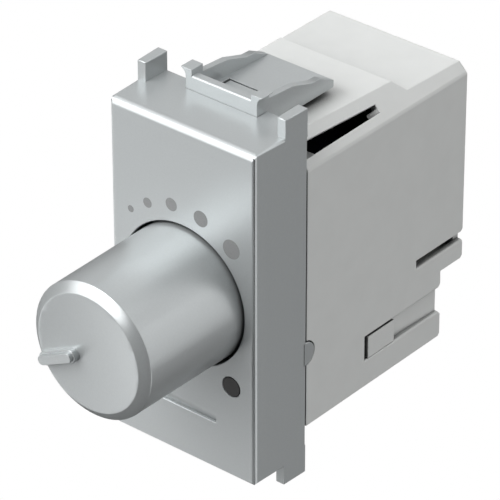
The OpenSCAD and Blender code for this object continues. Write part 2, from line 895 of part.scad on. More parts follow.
module potentiometer_housing() {
  color([0.15, 0.30, 0.22]) {
    difference() {
      along_y(pot_flange, pot_d)
        soft_square(pot_w, pot_w, 1.5);
      rod_y(pot_chamber_r, pot_flange - cut, pot_back_y);
      rod_y(rotor_hub_r + fit_gap, pot_back_y - cut, pot_d + cut);
    }
    intersection() {
      along_y(pot_flange, pot_back_y)
        sector(pot_chamber_r + 0.1, 270 - stop_half_angle, 270 + stop_half_angle);
      difference() {
        rod_y(pot_chamber_r + 0.1, pot_flange, pot_back_y);
        rod_y(stop_r, pot_flange - cut, pot_back_y + cut);
      }
    }
  }
}

// Pie slice of a disc in X and Z
module sector(r, a0, a1) {
  far = r * 1.5;
  mid = (a0 + a1) / 2;
  polygon([
    [0, 0],
    [far * cos(a0), far * sin(a0)],
    [far * cos(mid) * 1.2, far * sin(mid) * 1.2],
    [far * cos(a1), far * sin(a1)]
  ]);
}

module resistive_track() {
  gap_angle = 30;
  color([0.10, 0.10, 0.11])
    difference() {
      rod_y(track_r + track_w / 2, track_y, pot_back_y);
      rod_y(track_r - track_w / 2, track_y - cut, pot_back_y + cut);
      along_y(track_y - cut, pot_back_y + cut)
        sector(track_r + track_w, 270 - gap_angle, 270 + gap_angle);
    }
}

module potentiometer_pins() {
  color([0.80, 0.72, 0.45])
    for (x = [-pin_pitch, 0, pin_pitch])
      rod_y(pot_pin_r, pot_d, board_y0, x, pot_pin_z);
}

module wiper_rotor() {
  lug_r = pot_chamber_r - 0.15;
  color([0.90, 0.90, 0.86])
    difference() {
      union() {
        rod_y(rotor_disc_r, rotor_y, rotor_disc_y);
        rod_y(rotor_hub_r, rotor_disc_y, pot_d - 0.1);
        intersection() {
          along_y(rotor_y, rotor_disc_y)
            sector(lug_r, pointer_angle - lug_half_angle + 1, pointer_angle + lug_half_angle - 1);
          rod_y(lug_r, rotor_y, rotor_disc_y);
        }
      }
      shaft_section(shaft_hole_r, shaft_r - shaft_flat + fit_gap, rotor_y - cut, pot_d + cut);
    }
}

// Thin spring arm on the rotor's rear whose finger runs on the track
module wiper_contact() {
  arm_t0 = 0.3;
  finger_w = 1.2;
  finger_y = track_y - 0.03;
  inner = rotor_hub_r + 0.15;
  outer = rotor_disc_r - 0.1;
  color([0.82, 0.68, 0.35])
    rotate([0, -pointer_angle, 0]) {
      block([inner, outer], [rotor_disc_y, rotor_disc_y + arm_t0], [-1.6, 1.6]);
      along_x(track_r - finger_w / 2, track_r + finger_w / 2)
        polygon([
          [rotor_disc_y + arm_t0, 1.2],
          [rotor_disc_y + arm_t0, 1.6],
          [finger_y, 0.2],
          [finger_y, -0.4]
        ]);
    }
}

module switch_body() {
  color([0.12, 0.12, 0.13])
    difference() {
      along_y(pot_d, board_y0)
        soft_square(switch_w, switch_w, 1);
      along_y(switch_cavity_y0, switch_cavity_y1)
        square([2 * switch_inner, 2 * switch_inner], center = true);
      rod_y(shaft_r + 2 * fit_gap, pot_d - cut, switch_cavity_y0 + cut);
      for (x = [-contact_x, contact_x])
        rod_y(pot_pin_r + fit_gap, switch_cavity_y1 - cut, board_y0 + cut, x);
    }
}

module switch_plunger() {
  color([0.92, 0.92, 0.90]) {
    rod_y(shaft_r, plunger_front_y, flange_y);
    rod_y(plunger_flange_r, flange_y, flange_y + plunger_flange);
    rod_y(stem_r, flange_y + plunger_flange, switch_cavity_y1 - press_travel - 0.3);
  }
}

// Corners of one ring of the spring's wire, square to the helix
function spring_ring(t, sides) =
  let (
    a = 360 * spring_turns * t,
    y = spring_y0 + spring_wire_r + 0.02 + (spring_y1 - spring_y0 - 2 * spring_wire_r - 0.04) * t
  )
  [
    for (i = [0:sides - 1])
      let (b = 360 * i / sides, r = spring_r + spring_wire_r * cos(b))
        [r * cos(a), y + spring_wire_r * sin(b), r * sin(a)]
  ];

module return_spring() {
  sides = 6;
  rings = spring_turns * 12;
  points = [for (k = [0:rings]) each spring_ring(k / rings, sides)];
  skin = [
    for (k = [0:rings - 1], i = [0:sides - 1])
      let (j = (i + 1) % sides, a = k * sides, b = a + sides)
        each [[a + i, b + i, b + j], [a + i, b + j, a + j]]
  ];
  first = [for (i = [1:sides - 2]) [0, i, i + 1]];
  last = [for (i = [1:sides - 2]) let (b = rings * sides) [b, b + i + 1, b + i]];
  color([0.70, 0.71, 0.73])
    polyhedron(points, concat(skin, first, last));
}

module bridge_contact() {
  color([0.84, 0.70, 0.38])
    difference() {
      block([-bridge_half_w, bridge_half_w], [bridge_y, spring_y0], [-bridge_half_h, bridge_half_h]);
      rod_y(stem_r + fit_gap, bridge_y - cut, spring_y0 + cut);
    }
}

module fixed_contacts() {
  color([0.84, 0.70, 0.38])
    for (x = [-contact_x, contact_x]) {
      rod_y(contact_r, contact_tip_y, switch_cavity_y1, x);
      rod_y(pot_pin_r, switch_cavity_y1, board_y0, x);
    }
}

// Side view of the housing with its stepped top and shorter lower part
module housing_side() {
  polygon([
    [seam, -housing_drop],
    [lower_d - corner / 2, -housing_drop],
    [lower_d, -housing_drop + corner / 2],
    [lower_d, window_z0 - corner],
    [lower_d - corner, window_z0],
    [lower_d - corner, -window_drop],
    [lower_d, -window_drop + corner],
    [lower_d, wing_z],
    [housing_d - corner / 2, wing_z],
    [housing_d, wing_z + corner / 2],
    [housing_d, top_rear - rear_fall],
    [step_y + step_run, top_rear],
    [step_y, top_step],
    [seam, top_front]
  ]);
}

// Side view of the rear slit, flared where it leaves the housing
module slit_side() {
  polygon([
    [slit_y, ledge_top],
    [housing_d - slit_flare, ledge_top],
    [housing_d + cut, ledge_top - slit_flare - cut],
    [housing_d + cut, -slit_drop + slit_flare + cut],
    [housing_d - slit_flare, -slit_drop],
    [slit_y, -slit_drop]
  ]);
}

// Section of the housing across its depth with the two top chamfers
module housing_section(x, bottom, sum) {
  polygon([
    [-x, bottom],
    [x, bottom],
    [x, sum - x],
    [sum - top_front - cut, top_front + cut],
    [top_front + cut - sum, top_front + cut],
    [-x, sum - x]
  ]);
}

// Side view of the space inside the housing, open to the front and at the terminals
module housing_space() {
  web_y = slit_y - housing_wall;
  polygon([
    [seam - cut, floor_z],
    [housing_d + cut, floor_z],
    [housing_d + cut, ledge_under],
    [web_y, ledge_under],
    [web_y, chamber_floor],
    [housing_d - housing_wall, chamber_floor],
    [housing_d - housing_wall, top_rear - rear_fall - housing_wall],
    [step_y + step_run, top_rear - housing_wall],
    [step_y, top_rear - housing_wall],
    [step_y - step_run, top_step - housing_wall],
    [seam + housing_wall, top_front - housing_wall],
    [seam + housing_wall, chassis_top + drop_gap],
    [seam - cut, chassis_top + drop_gap]
  ]);
}

// Wedge-shaped slot in the right top chamfer, drawn on the chamfer's own plane
module vent_slot() {
  depth = 2 * housing_wall;
  lip = 0.2;
  translate([hw, 0, side_top])
    rotate([0, 45, 0])
      difference() {
        translate([0, 0, -depth])
          linear_extrude(height = 2 * depth)
            polygon([
              [-vent_margin, vent_y0],
              [-vent_margin - vent_front_w, vent_y0],
              [-vent_margin - vent_climb - vent_rear_w, vent_l],
              [-vent_margin - vent_climb, vent_l]
            ]);
        along_x(-vent_margin - vent_climb - vent_ramp_w, cut)
          polygon([
            [vent_l + cut, -lip],
            [vent_l, -lip],
            [vent_l - vent_ramp, -housing_wall],
            [vent_l - vent_ramp, -depth - cut],
            [vent_l + cut, -depth - cut]
          ]);
      }
}

// Right locking window with the channel that leads to it from the rear, in X and Y
module window_cut() {
  window_end = window_y + window_l;
  polygon([
    [ihw - cut, window_y],
    [hw + cut, window_y],
    [hw + cut, lower_d + cut],
    [hw - channel_rear_t, lower_d + cut],
    [hw - channel_rear_t, lower_d],
    [hw - channel_front_t, window_end],
    [ihw - cut, window_end]
  ]);
}

module housing_shell() {
  rail_z0 = chamber_floor + 0.5;
  rail_z1 = side_top - 2.5;
  color([0.86, 0.87, 0.86])
    difference() {
      union() {
        difference() {
          intersection() {
            along_x(-hw, hw)
              housing_side();
            along_y(0, housing_d + cut)
              housing_section(hw, -housing_drop - cut, chamfer_sum);
          }
          intersection() {
            along_x(-ihw, ihw)
              housing_space();
            along_y(-cut, housing_d + 2 * cut)
              housing_section(ihw, floor_z, inner_chamfer_sum);
          }
        }
        both_sides()
          block([ihw - rail_w, ihw + 0.2], [rail_y0, rail_y0 + rail_d], [rail_z0, rail_z1]);
        block([-hw + pad_inset, hw - pad_inset], [pad_y0, pad_y1], [-housing_drop - pad_h, floor_z]);
      }
      both_sides() {
        vent_slot();
        translate([0, 0, window_z0])
          linear_extrude(height = window_h)
            window_cut();
        along_x(hw - slit_depth, hw + cut)
          slit_side();
        block(
          [hw - slit_pocket_depth, hw - slit_depth + cut / 2],
          [slit_y, housing_d - housing_wall],
          [ledge_top, -slit_drop]
        );
        block(
          [hw - slit_pocket_depth, hw - slit_depth],
          [slit_y, housing_d - housing_wall],
          [ledge_under + slit_pocket_floor, ledge_top + cut / 2]
        );
        along_x(ihw - cut, hw + cut)
          translate([0, -ear_drop])
            circle(r = ear_r + ear_gap);
      }
      for (i = [0:terminal_count - 1])
        rod_z(access_r, -housing_drop - pad_h - cut, floor_z + cut, terminal_x(i), screw_y);
    }
}

module circuit_board() {
  color([0.10, 0.36, 0.20])
    difference() {
      block([-board_half_w, board_half_w], [board_y0, board_y1], [board_bottom, board_top]);
      both_sides()
        translate([board_half_w, 0, board_top])
          rotate([0, 45, 0])
            block([-1.2, 1.2], [board_y0 - cut, board_y1 + cut], [-1.2, 1.2]);
    }
}

module heat_sink() {
  color([0.78, 0.79, 0.80])
    difference() {
      union() {
        block([-sink_half_w, sink_half_w], [board_y1, sink_rear_y], [sink_z, sink_top]);
        for (x = [-sink_half_w, sink_half_w - sink_t])
          block([x, x + sink_t], [board_y1 + 1.5, sink_rear_y], [sink_z - sink_fold, sink_z + 0.1]);
      }
      rod_z(transistor_screw_r + fit_gap, sink_z - cut, sink_top + cut, 0, transistor_hole_y);
    }
}

module power_transistor() {
  lead_w = 0.8;
  lead_thick = 0.5;
  lead_z = transistor_z0 + 1;
  lead_pitch = 2.3;
  y1 = transistor_y + transistor_l;
  color([0.11, 0.11, 0.12])
    difference() {
      block([-transistor_w / 2, transistor_w / 2], [transistor_y, y1], [transistor_z0, sink_z]);
      rod_z(transistor_hole_r, transistor_z0 - cut, sink_z + cut, 0, transistor_hole_y);
    }
  color([0.80, 0.80, 0.80])
    for (x = [-lead_pitch, 0, lead_pitch])
      block([x - lead_w / 2, x + lead_w / 2], [board_y1, transistor_y + 0.1], [lead_z, lead_z + lead_thick]);
}

module transistor_screw() {
  y = transistor_hole_y;
  r = transistor_head_r;
  head_z = transistor_z0 - transistor_head_h;
  slot_half_w = 0.3;
  slot_d = 0.6;
  color([0.72, 0.73, 0.75])
    difference() {
      union() {
        rod_z(transistor_screw_r, transistor_z0, sink_top, 0, y);
        rod_z(r, head_z, transistor_z0, 0, y);
      }
      block([-r, r], [y - slot_half_w, y + slot_half_w], [head_z - cut, head_z + slot_d]);
    }
}

module choke_core() {
  y0 = board_y1 + winding_t;
  y1 = board_y1 + choke_d - winding_t;
  color([0.35, 0.36, 0.34])
    translate([choke_x, 0, choke_z])
      difference() {
        rod_y(choke_r - winding_t, y0, y1);
        rod_y(core_bore_r, y0 - cut, y1 + cut);
      }
}

// Winding round the core, left open over a gap at its foot
module choke_winding() {
  y0 = board_y1;
  y1 = board_y1 + choke_d;
  gap_angle = 25;
  color([0.72, 0.40, 0.18])
    translate([choke_x, 0, choke_z])
      difference() {
        rod_y(choke_r, y0, y1);
        rod_y(core_bore_r - winding_t, y0 - cut, y1 + cut);
        difference() {
          rod_y(choke_r - winding_t, y0 + winding_t, y1 - winding_t);
          rod_y(core_bore_r, y0, y1);
        }
        along_y(y0 - cut, y1 + cut)
          sector(choke_r + 1, 90 - gap_angle, 90 + gap_angle);
      }
}

module film_capacitor() {
  color([0.85, 0.72, 0.20])
    translate([(film_x0 + film_x1) / 2, 0, lower_row_z + film_h / 2])
      along_y(board_y1, board_y1 + film_d)
        soft_square(film_x1 - film_x0, film_h, 0.4);
}

module electrolytic_capacitor() {
  groove = 0.3;
  color([0.15, 0.17, 0.22])
    translate([elco_x, 0, elco_z])
      difference() {
        rod_y(elco_r, board_y0 - upper_row_d, board_y0);
        difference() {
          rod_y(elco_r + cut, board_y0 - 1.8, board_y0 - 1.2);
          rod_y(elco_r - groove, board_y0 - 2, board_y0 - 1);
        }
      }
}

module fuse() {
  color([0.62, 0.60, 0.52])
    translate([fuse_x + fuse_w / 2, 0, upper_row_z + fuse_h / 2])
      along_y(board_y0 - upper_row_d, board_y0)
        soft_square(fuse_w, fuse_h, 0.5);
}

module varistor() {
  lead_r = 0.3;
  y = board_y0 - varistor_r - 0.6;
  color([0.15, 0.28, 0.55])
    translate([varistor_x, y, varistor_z])
      rotate([0, 90, 0])
        cylinder(h = varistor_t, r = varistor_r);
  color([0.80, 0.80, 0.80])
    for (z = [-1.6, 1.6])
      rod_y(lead_r, y, board_y0, varistor_x + varistor_t / 2, varistor_z + z);
}

module indicator_led() {
  flange_y0 = -chassis_wall - led_flange_t;
  color([0.85, 0.88, 0.86])
    translate([lens_x, 0, lens_z]) {
      rod_y(led_flange_r, flange_y0, -chassis_wall);
      rod_y(led_r, led_tip_y + led_r, flange_y0);
      translate([0, led_tip_y + led_r, 0])
        sphere(r = led_r);
      for (x = [-led_lead_gap, led_lead_gap])
        rod_y(led_lead_r, -chassis_wall, board_y0, x);
    }
}

// One locking arm on the right with its tooth for the housing's window
module locking_arm() {
  x1 = block_half_w;
  block([x1 - arm_t, x1], [tooth_y0, arm_rear_y + 0.2], [tooth_z0 - 0.4, tooth_z1 + 0.4]);
  block([x1 - 0.1, hw - 0.03], [tooth_y0, tooth_y1], [tooth_z0, tooth_z1]);
}

module terminal_block() {
  lead_w = 2;
  color([0.87, 0.88, 0.87])
    difference() {
      union() {
        block([-neck_x, neck_x], [block_y0, block_y1], [block_z0, block_z1]);
        block([-block_half_w, block_half_w], [arm_rear_y, block_y1], [block_z0, block_z1]);
        both_sides()
          locking_arm();
      }
      for (i = [0:terminal_count - 1]) {
        x = terminal_x(i);
        block(
          [x - clamp_w / 2 - drop_gap, x + clamp_w / 2 + drop_gap],
          [cage_y0 - drop_gap, cage_y1 + drop_gap],
          [cage_z0 - drop_gap, block_z1 + cut]
        );
        block([x - lead_w / 2 - drop_gap, x + lead_w / 2 + drop_gap], [board_y1, cage_y0], [wire_z - wire_r, block_z1 + cut]);
        rod_y(wire_r, cage_y1, block_y1 + cut, x, wire_z);
        rod_z(access_r, block_z0 - cut, cage_z0, x, screw_y);
      }
    }
}

module terminal_clamps() {
  color([0.83, 0.72, 0.42])
    for (i = [0:terminal_count - 1])
      translate([terminal_x(i), 0, 0])
        difference() {
          block([-clamp_w / 2, clamp_w / 2], [cage_y0, cage_y1], [cage_z0, cage_top]);
          block(
            [-clamp_w / 2 + clamp_t, clamp_w / 2 - clamp_t],
            [cage_y0 - cut, cage_y1 + cut],
            [cage_z0 + clamp_thread_t, cage_top - clamp_t]
          );
          rod_z(screw_r + fit_gap, cage_z0 - cut, cage_z0 + clamp_thread_t + cut, 0, screw_y);
        }
}

module terminal_screws() {
  slot = 0.25;
  color([0.74, 0.75, 0.77])
    for (i = [0:terminal_count - 1])
      translate([terminal_x(i), screw_y, 0])
        difference() {
          union() {
            rod_z(screw_r, screw_head_top, cage_z0 + clamp_thread_t + 0.3, 0, 0);
            rod_z(screw_head_r, screw_head_z0, screw_head_top, 0, 0);
          }
          for (a = [0, 90])
            rotate([0, 0, a])
              block([-1.2, 1.2], [-slot, slot], [screw_head_z0 - cut, screw_head_z0 + 0.7]);
        }
}

module terminal_leads() {
  lead_w = 2;
  color([0.83, 0.72, 0.42])
    for (i = [0:terminal_count - 1])
      translate([terminal_x(i), 0, 0])
        block([-lead_w / 2, lead_w / 2], [board_y1, cage_y0], [wire_z, cage_top]);
}

front_plate();
indicator_lens();
release_latch();
rotary_knob();
knob_clip();
control_shaft();
chassis();
shaft_bushing();
bushing_washer();
bushing_nut();
potentiometer_housing();
resistive_track();
potentiometer_pins();
wiper_rotor();
wiper_contact();
switch_body();
switch_plunger();
return_spring();
bridge_contact();
fixed_contacts();
housing_shell();
circuit_board();
heat_sink();
power_transistor();
transistor_screw();
choke_core();
choke_winding();
film_capacitor();
electrolytic_capacitor();
fuse();
varistor();
indicator_led();
terminal_block();
terminal_clamps();
terminal_screws();
terminal_leads();
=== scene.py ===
import json
import math

import bmesh
import bpy
from mathutils import Matrix, Vector, geometry

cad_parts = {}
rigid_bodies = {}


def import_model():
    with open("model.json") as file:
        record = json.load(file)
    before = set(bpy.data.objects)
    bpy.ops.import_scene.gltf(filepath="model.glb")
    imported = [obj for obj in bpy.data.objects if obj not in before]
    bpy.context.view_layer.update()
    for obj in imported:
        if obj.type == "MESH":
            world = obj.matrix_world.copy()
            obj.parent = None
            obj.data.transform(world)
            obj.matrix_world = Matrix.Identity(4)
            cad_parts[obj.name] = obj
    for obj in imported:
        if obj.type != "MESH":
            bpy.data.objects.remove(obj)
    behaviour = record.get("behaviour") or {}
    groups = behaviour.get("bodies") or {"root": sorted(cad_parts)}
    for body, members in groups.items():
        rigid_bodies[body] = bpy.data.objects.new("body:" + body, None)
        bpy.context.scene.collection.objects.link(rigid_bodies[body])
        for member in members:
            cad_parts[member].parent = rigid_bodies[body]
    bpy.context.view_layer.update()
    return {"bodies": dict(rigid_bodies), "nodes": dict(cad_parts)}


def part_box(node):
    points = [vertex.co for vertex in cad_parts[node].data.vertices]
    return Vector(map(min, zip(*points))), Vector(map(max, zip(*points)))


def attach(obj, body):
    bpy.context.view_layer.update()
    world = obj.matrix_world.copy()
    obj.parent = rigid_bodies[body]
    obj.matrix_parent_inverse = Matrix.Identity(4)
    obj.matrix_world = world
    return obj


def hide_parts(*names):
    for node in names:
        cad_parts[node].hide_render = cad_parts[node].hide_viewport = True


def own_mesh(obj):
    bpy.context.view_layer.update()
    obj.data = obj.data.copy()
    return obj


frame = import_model()
scene = bpy.context.scene
nodes = frame["nodes"]
MM = 0.001

# Camera: angles in degrees, the azimuth from -Y towards +X; places in metres; lens and sensor in millimetres
CAMERA_AZIMUTH = 39.84
CAMERA_ELEVATION = 31.73
CAMERA_ROLL = -0.07
CAMERA_DISTANCE = 0.47345
CAMERA_LENS = 293.0
CAMERA_RIGHT = 0.0078
CAMERA_UP = 0.00507
CAMERA_TARGET = Vector((0, -0.009, 0))
SENSOR = 36.0
CLIP_NEAR = 0.01
CLIP_FAR = 20

# Stage: a floor far below the module and a white room round it, both seen only by the camera
FLOOR_Z = -0.7
FLOOR_RADIUS = 2.2
FLOOR_SEGMENTS = 96
ROOM_RADIUS = 2.5
ROOM_SEGMENTS = 48
STAGE_GLOW = 1.0

# Light of the room: its level straight down and straight up
ROOM_BELOW = 0.1
ROOM_ABOVE = 0.05
# Softboxes in the room: azimuth, elevation, half width and soft edge in degrees, and strength
SOFTBOXES = (
    ("key_box", -170, 58, 14, 8, 1.6),
    ("high_front_box", -115, 50, 14, 9, 5.2),
    ("left_high_box", -140, 29, 14, 9, 3.2),
    ("front_high_box", -97, 28, 14, 9, 4.6),
    ("front_box", -123, 2, 14, 9, 3.3),
    ("front_low_box", -128, -30, 13, 9, 0.4),
    ("low_left_box", -158, -34, 13, 9, 1.4),
    ("side_box", -8, -8, 15, 10, 0.1),
    ("low_right_box", 8, -36, 18, 12, 1.5),
    ("side_rear_box", 38, 4, 20, 16, 1.1),
    ("right_sky_box", 20, 60, 18, 12, 1.25),
    ("rear_sky_box", 70, 44, 28, 22, 0.7),
    ("rear_box", 118, 8, 22, 16, 0.2),
    ("rear_high_box", 128, 38, 22, 16, 0.45),
)

# Softened edges: the width of their rounding
PLATE_EDGE = 0.1 * MM
LATCH_EDGE = 0.05 * MM
KNOB_EDGE = 0.07 * MM
HOUSING_EDGE = 0.25 * MM
BLOCK_EDGE = 0.07 * MM
CARRIER_EDGE = 0.08 * MM
LENS_EDGE = 0.1 * MM
EDGE_STEPS = 2
# Edges that bend more than the first angle are softened, and what then still bends more than the second is
# shaded sharp
EDGE_ANGLE = math.radians(28)
FOLD_ANGLE = math.radians(55)
# A rounding takes at most this share of the room on its faces. With room for less than the least share of
# its width, the edge stays sharp
ROOM_SHARE = 0.4
LEAST_SHARE = 0.3
# The housing's edges get this share of the width, but for a band of this depth round its rear face
HOUSING_SHARE = 0.3
REAR_BAND = 0.1 * MM
# Rear slit of the housing, whose lips stay sharp: the band round it in y and z
SLIT_FRONT = 21.0 * MM
SLIT_LOW = -7.0 * MM
SLIT_HIGH = -5.3 * MM
# Top of the plate, where the latch's strip comes out, and how far round it the edges stay sharp
PLATE_TOP = 22.5 * MM
SEAM = 0.3 * MM

# Faces within this angle are merged into one flat, and corners within this distance into one
FLAT_ANGLE = math.radians(0.4)
MERGE = 0.001 * MM
# A face looks straight forward if its normal has at least this share along -Y
FORWARD = 0.999
# Where the plate is cut across near its sides
PLATE_CUT = 10.4 * MM
# The knob's front is turned slightly hollow: depth at its middle, and the grid that carries it
DISH_DEPTH = 0.33 * MM
DISH_GRID = 1.0 * MM

# Finishes: the middle of a noise's range, and the size of the gloss's clouds against the colour's
NOISE_LOW = 0.3
NOISE_HIGH = 0.7
GLOSS_CLOUD = 0.6
# Painted shade in gaps and inner corners, darkening the colour by ambient occlusion: how far it looks, its
# rays, and the open share at which it is full
PAINTED_SHADE_REACH = 2.2 * MM
PAINTED_SHADE_RAYS = 8
PAINTED_SHADE_CLOSED = 0.15

# Printed dots: radius of their ring, then each dot's angle from the right in degrees and its diameter in mm
DOT_RING = 11.6 * MM
DOTS = ((132.8, 0.9), (117.1, 1.3), (98.1, 1.7), (76.0, 2.1), (50.5, 2.5))
DOT_THICK = 0.012 * MM
DOT_SIDES = 48


def direction(azimuth, elevation):
    """Unit vector: azimuth 0 is +X and 90 is +Y, elevation is above the horizon, in degrees."""
    a, e = math.radians(azimuth), math.radians(elevation)
    return Vector((math.cos(a) * math.cos(e), math.sin(a) * math.cos(e), math.sin(e)))


def make_camera():
    """The photograph's camera, which looks at the target from this azimuth and elevation."""
    a = math.radians(CAMERA_AZIMUTH)
    e = math.radians(CAMERA_ELEVATION)
    forward = Vector((-math.sin(a) * math.cos(e), math.cos(a) * math.cos(e), -math.sin(e)))
    right = Vector((math.cos(a), math.sin(a), 0))
    up = right.cross(forward)
    turn = Matrix((right, up, -forward)).transposed() @ Matrix.Rotation(math.radians(CAMERA_ROLL), 3, "Z")
    data = bpy.data.cameras.new("camera")
    data.lens = CAMERA_LENS
    data.sensor_width = SENSOR
    data.clip_start = CLIP_NEAR
    data.clip_end = CLIP_FAR
    camera = bpy.data.objects.new("camera", data)
    place = CAMERA_TARGET + right * CAMERA_RIGHT + up * CAMERA_UP - forward * CAMERA_DISTANCE
    camera.matrix_world = Matrix.Translation(place) @ turn.to_4x4()
    scene.collection.objects.link(camera)
    scene.camera = camera


def add_node(tree, kind, inputs=(), **settings):
    """Adds a shader node; inputs takes values, or the output sockets to link."""
    made = tree.nodes.new("ShaderNode" + kind)
    for key, value in settings.items():
        setattr(made, key, value)
    for key, value in dict(inputs).items():
        if isinstance(value, bpy.types.NodeSocket):
            tree.links.new(value, made.inputs[key])
        else:
            made.inputs[key].default_value = value
    return made


def make_room_light():
    """World light: a gradient from the floor up, with a soft-edged disc of light for each softbox."""
    world = bpy.data.worlds.new("studio")
    world.use_nodes = True
    tree = world.node_tree
    way = add_node(tree, "TexCoord").outputs["Generated"]
    height = add_node(tree, "SeparateXYZ", {"Vector": way}).outputs["Z"]
    level = add_node(tree, "MapRange", {
        "Value": height, "From Min": -1.0, "From Max": 1.0, "To Min": ROOM_BELOW, "To Max": ROOM_ABOVE,
    }).outputs["Result"]
    for name, azimuth, elevation, half_width, edge, strength in SOFTBOXES:
        aim = add_node(
            tree, "VectorMath", {0: way, 1: direction(azimuth, elevation)}, operation="DOT_PRODUCT")
        disc = add_node(tree, "MapRange", {
            "Value": aim.outputs["Value"],
            "From Min": math.cos(math.radians(half_width + edge)),
            "From Max": math.cos(math.radians(max(half_width - edge, 0))),
            "To Min": 0.0, "To Max": strength,
        }, interpolation_type="SMOOTHSTEP", name=name)
        level = add_node(tree, "Math", {0: level, 1: disc.outputs["Result"]}).outputs["Value"]
    tree.links.new(level, tree.nodes["Background"].inputs["Strength"])
    tree.nodes["Background"].inputs["Color"].default_value = (1, 1, 1, 1)
    scene.world = world


def stage_white():
    """A glow that is plain white to the camera."""
    mat = bpy.data.materials.new("stage_white")
    mat.use_nodes = True
    tree = mat.node_tree
    glow = add_node(tree, "Emission", {"Color": (1, 1, 1, 1), "Strength": STAGE_GLOW})
    tree.links.new(glow.outputs["Emission"], tree.nodes["Material Output"].inputs["Surface"])
    return mat


def hide_from_light(obj):
    """Leaves a piece to the camera alone: it casts no shadow, and nothing mirrors it."""
    obj.visible_diffuse = False
    obj.visible_glossy = False
    obj.visible_transmission = False
    obj.visible_shadow = False


def add_stage(name, shape, mat):
    """Puts a piece of the stage in the scene, seen by the camera but not mirrored in the module."""
    mesh = bpy.data.meshes.new(name)
    shape.to_mesh(mesh)
    shape.free()
    obj = bpy.data.objects.new(name, mesh)
    scene.collection.objects.link(obj)
    mesh.materials.append(mat)
    hide_from_light(obj)


def make_stage():
    """Floor and room, both plain white."""
    white = stage_white()
    floor = bmesh.new()
    bmesh.ops.create_circle(floor, cap_ends=True, segments=FLOOR_SEGMENTS, radius=FLOOR_RADIUS)
    bmesh.ops.translate(floor, verts=floor.verts, vec=(0, 0, FLOOR_Z))
    add_stage("floor", floor, white)
    room = bmesh.new()
    bmesh.ops.create_uvsphere(
        room, u_segments=ROOM_SEGMENTS, v_segments=ROOM_SEGMENTS // 2, radius=ROOM_RADIUS)
    bmesh.ops.reverse_faces(room, faces=room.faces)
    add_stage("room", room, white)


def noise(tree, size, detail=2.0, stretch=(1, 1, 1)):
    """Noise of one feature size in metres, fixed to the object; stretch draws it out along an axis."""
    place = add_node(tree, "TexCoord").outputs["Object"]
    scale = tuple(1 / (size * s) for s in stretch)
    place = add_node(tree, "Mapping", {"Vector": place, "Scale": scale}).outputs["Vector"]
    return add_node(tree, "TexNoise", {"Vector": place, "Scale": 1.0, "Detail": detail}).outputs["Fac"]


def spread(tree, value, low, high):
    """Spreads a noise over low..high."""
    ends = {"Value": value, "From Min": NOISE_LOW, "From Max": NOISE_HIGH, "To Min": low, "To Max": high}
    return add_node(tree, "MapRange", ends).outputs["Result"]


def blend_colors(tree, value, dark, light):
    """Clouds of two colours that follow a noise."""
    ramp = add_node(tree, "ValToRGB", {"Fac": value})
    low, high = ramp.color_ramp.elements
    low.position, low.color = NOISE_LOW, (*dark, 1)
    high.position, high.color = NOISE_HIGH, (*light, 1)
    return ramp.outputs["Color"]


def paint_crevice_shade(tree, color, shade, clear):
    """Paints shade into a colour in gaps and inner corners, by ambient occlusion: none where the clear share
    of the view is open, and down to the shade where they close."""
    open_share = add_node(tree, "AmbientOcclusion", {"Distance": PAINTED_SHADE_REACH}, samples=PAINTED_SHADE_RAYS)
    ends = {
        "Value": open_share.outputs["AO"], "From Min": PAINTED_SHADE_CLOSED, "From Max": clear, "To Min": shade,
    }
    factor = add_node(tree, "MapRange", ends, interpolation_type="SMOOTHSTEP").outputs["Result"]
    return add_node(tree, "VectorMath", {0: color, "Scale": factor}, operation="SCALE").outputs["Vector"]


def finish_material(name, dark, light, cloud, rough, grain, depth, stretch=(1, 1, 1), detail=2.0,
                    painted_crevice_shade=None, **sockets):
    """A finish: colour clouded between dark and light, gloss uneven between two roughnesses,
    and a relief with this grain size and depth. A pair for painted shade gives the shade painted into gaps
    and inner corners and the open share from which they are clear. The other sockets take constants."""
    mat = bpy.data.materials.new(name)
    mat.use_nodes = True
    tree = mat.node_tree
    shader = tree.nodes["Principled BSDF"]
    color = blend_colors(tree, noise(tree, cloud, detail, stretch), dark, light)
    # Painted shade: the colour is darkened where ambient occlusion finds gaps and inner corners
    if painted_crevice_shade is not None:
        color = paint_crevice_shade(tree, color, *painted_crevice_shade)
    tree.links.new(color, shader.inputs["Base Color"])
    gloss = spread(tree, noise(tree, cloud * GLOSS_CLOUD, detail, stretch), *rough)
    tree.links.new(gloss, shader.inputs["Roughness"])
    relief = {"Height": noise(tree, grain, detail, stretch), "Strength": 1.0, "Distance": depth}
    tree.links.new(add_node(tree, "Bump", relief).outputs["Normal"], shader.inputs["Normal"])
    for key, value in sockets.items():
        shader.inputs[key.replace("_", " ")].default_value = value
    return mat


def silver_paint():
    """Satin silver lacquer on moulded plastic: fine flake and a faint orange peel, with mild painted shade
    in gaps and inner corners.
    """
    return finish_material(
        "silver_paint", (0.476, 0.5, 0.506), (0.495, 0.52, 0.526),
        cloud=0.25 * MM, rough=(0.29, 0.32), grain=0.9 * MM, depth=0.00005 * MM,
        painted_crevice_shade=(0.5, 0.45), Metallic=0.5)


def housing_plastic():
    """Pale grey moulding with a fine eroded grain, with deep painted shade in its gaps, slits and inner
    corners.
    """
    return finish_material(
        "housing_plastic", (0.648, 0.661, 0.652), (0.668, 0.681, 0.672),
        cloud=3 * MM, rough=(0.42, 0.5), grain=0.2 * MM, depth=0.0004 * MM,
        painted_crevice_shade=(0.02, 0.9))


def carrier_plastic():
    """Grey moulding of the chassis behind the plate, with deep painted shade in its gaps and inner corners.
    """
    return finish_material(
        "carrier_plastic", (0.50, 0.51, 0.51), (0.53, 0.54, 0.54),
        cloud=3 * MM, rough=(0.42, 0.5), grain=0.14 * MM, depth=0.002 * MM,
        painted_crevice_shade=(0.05, 0.9))


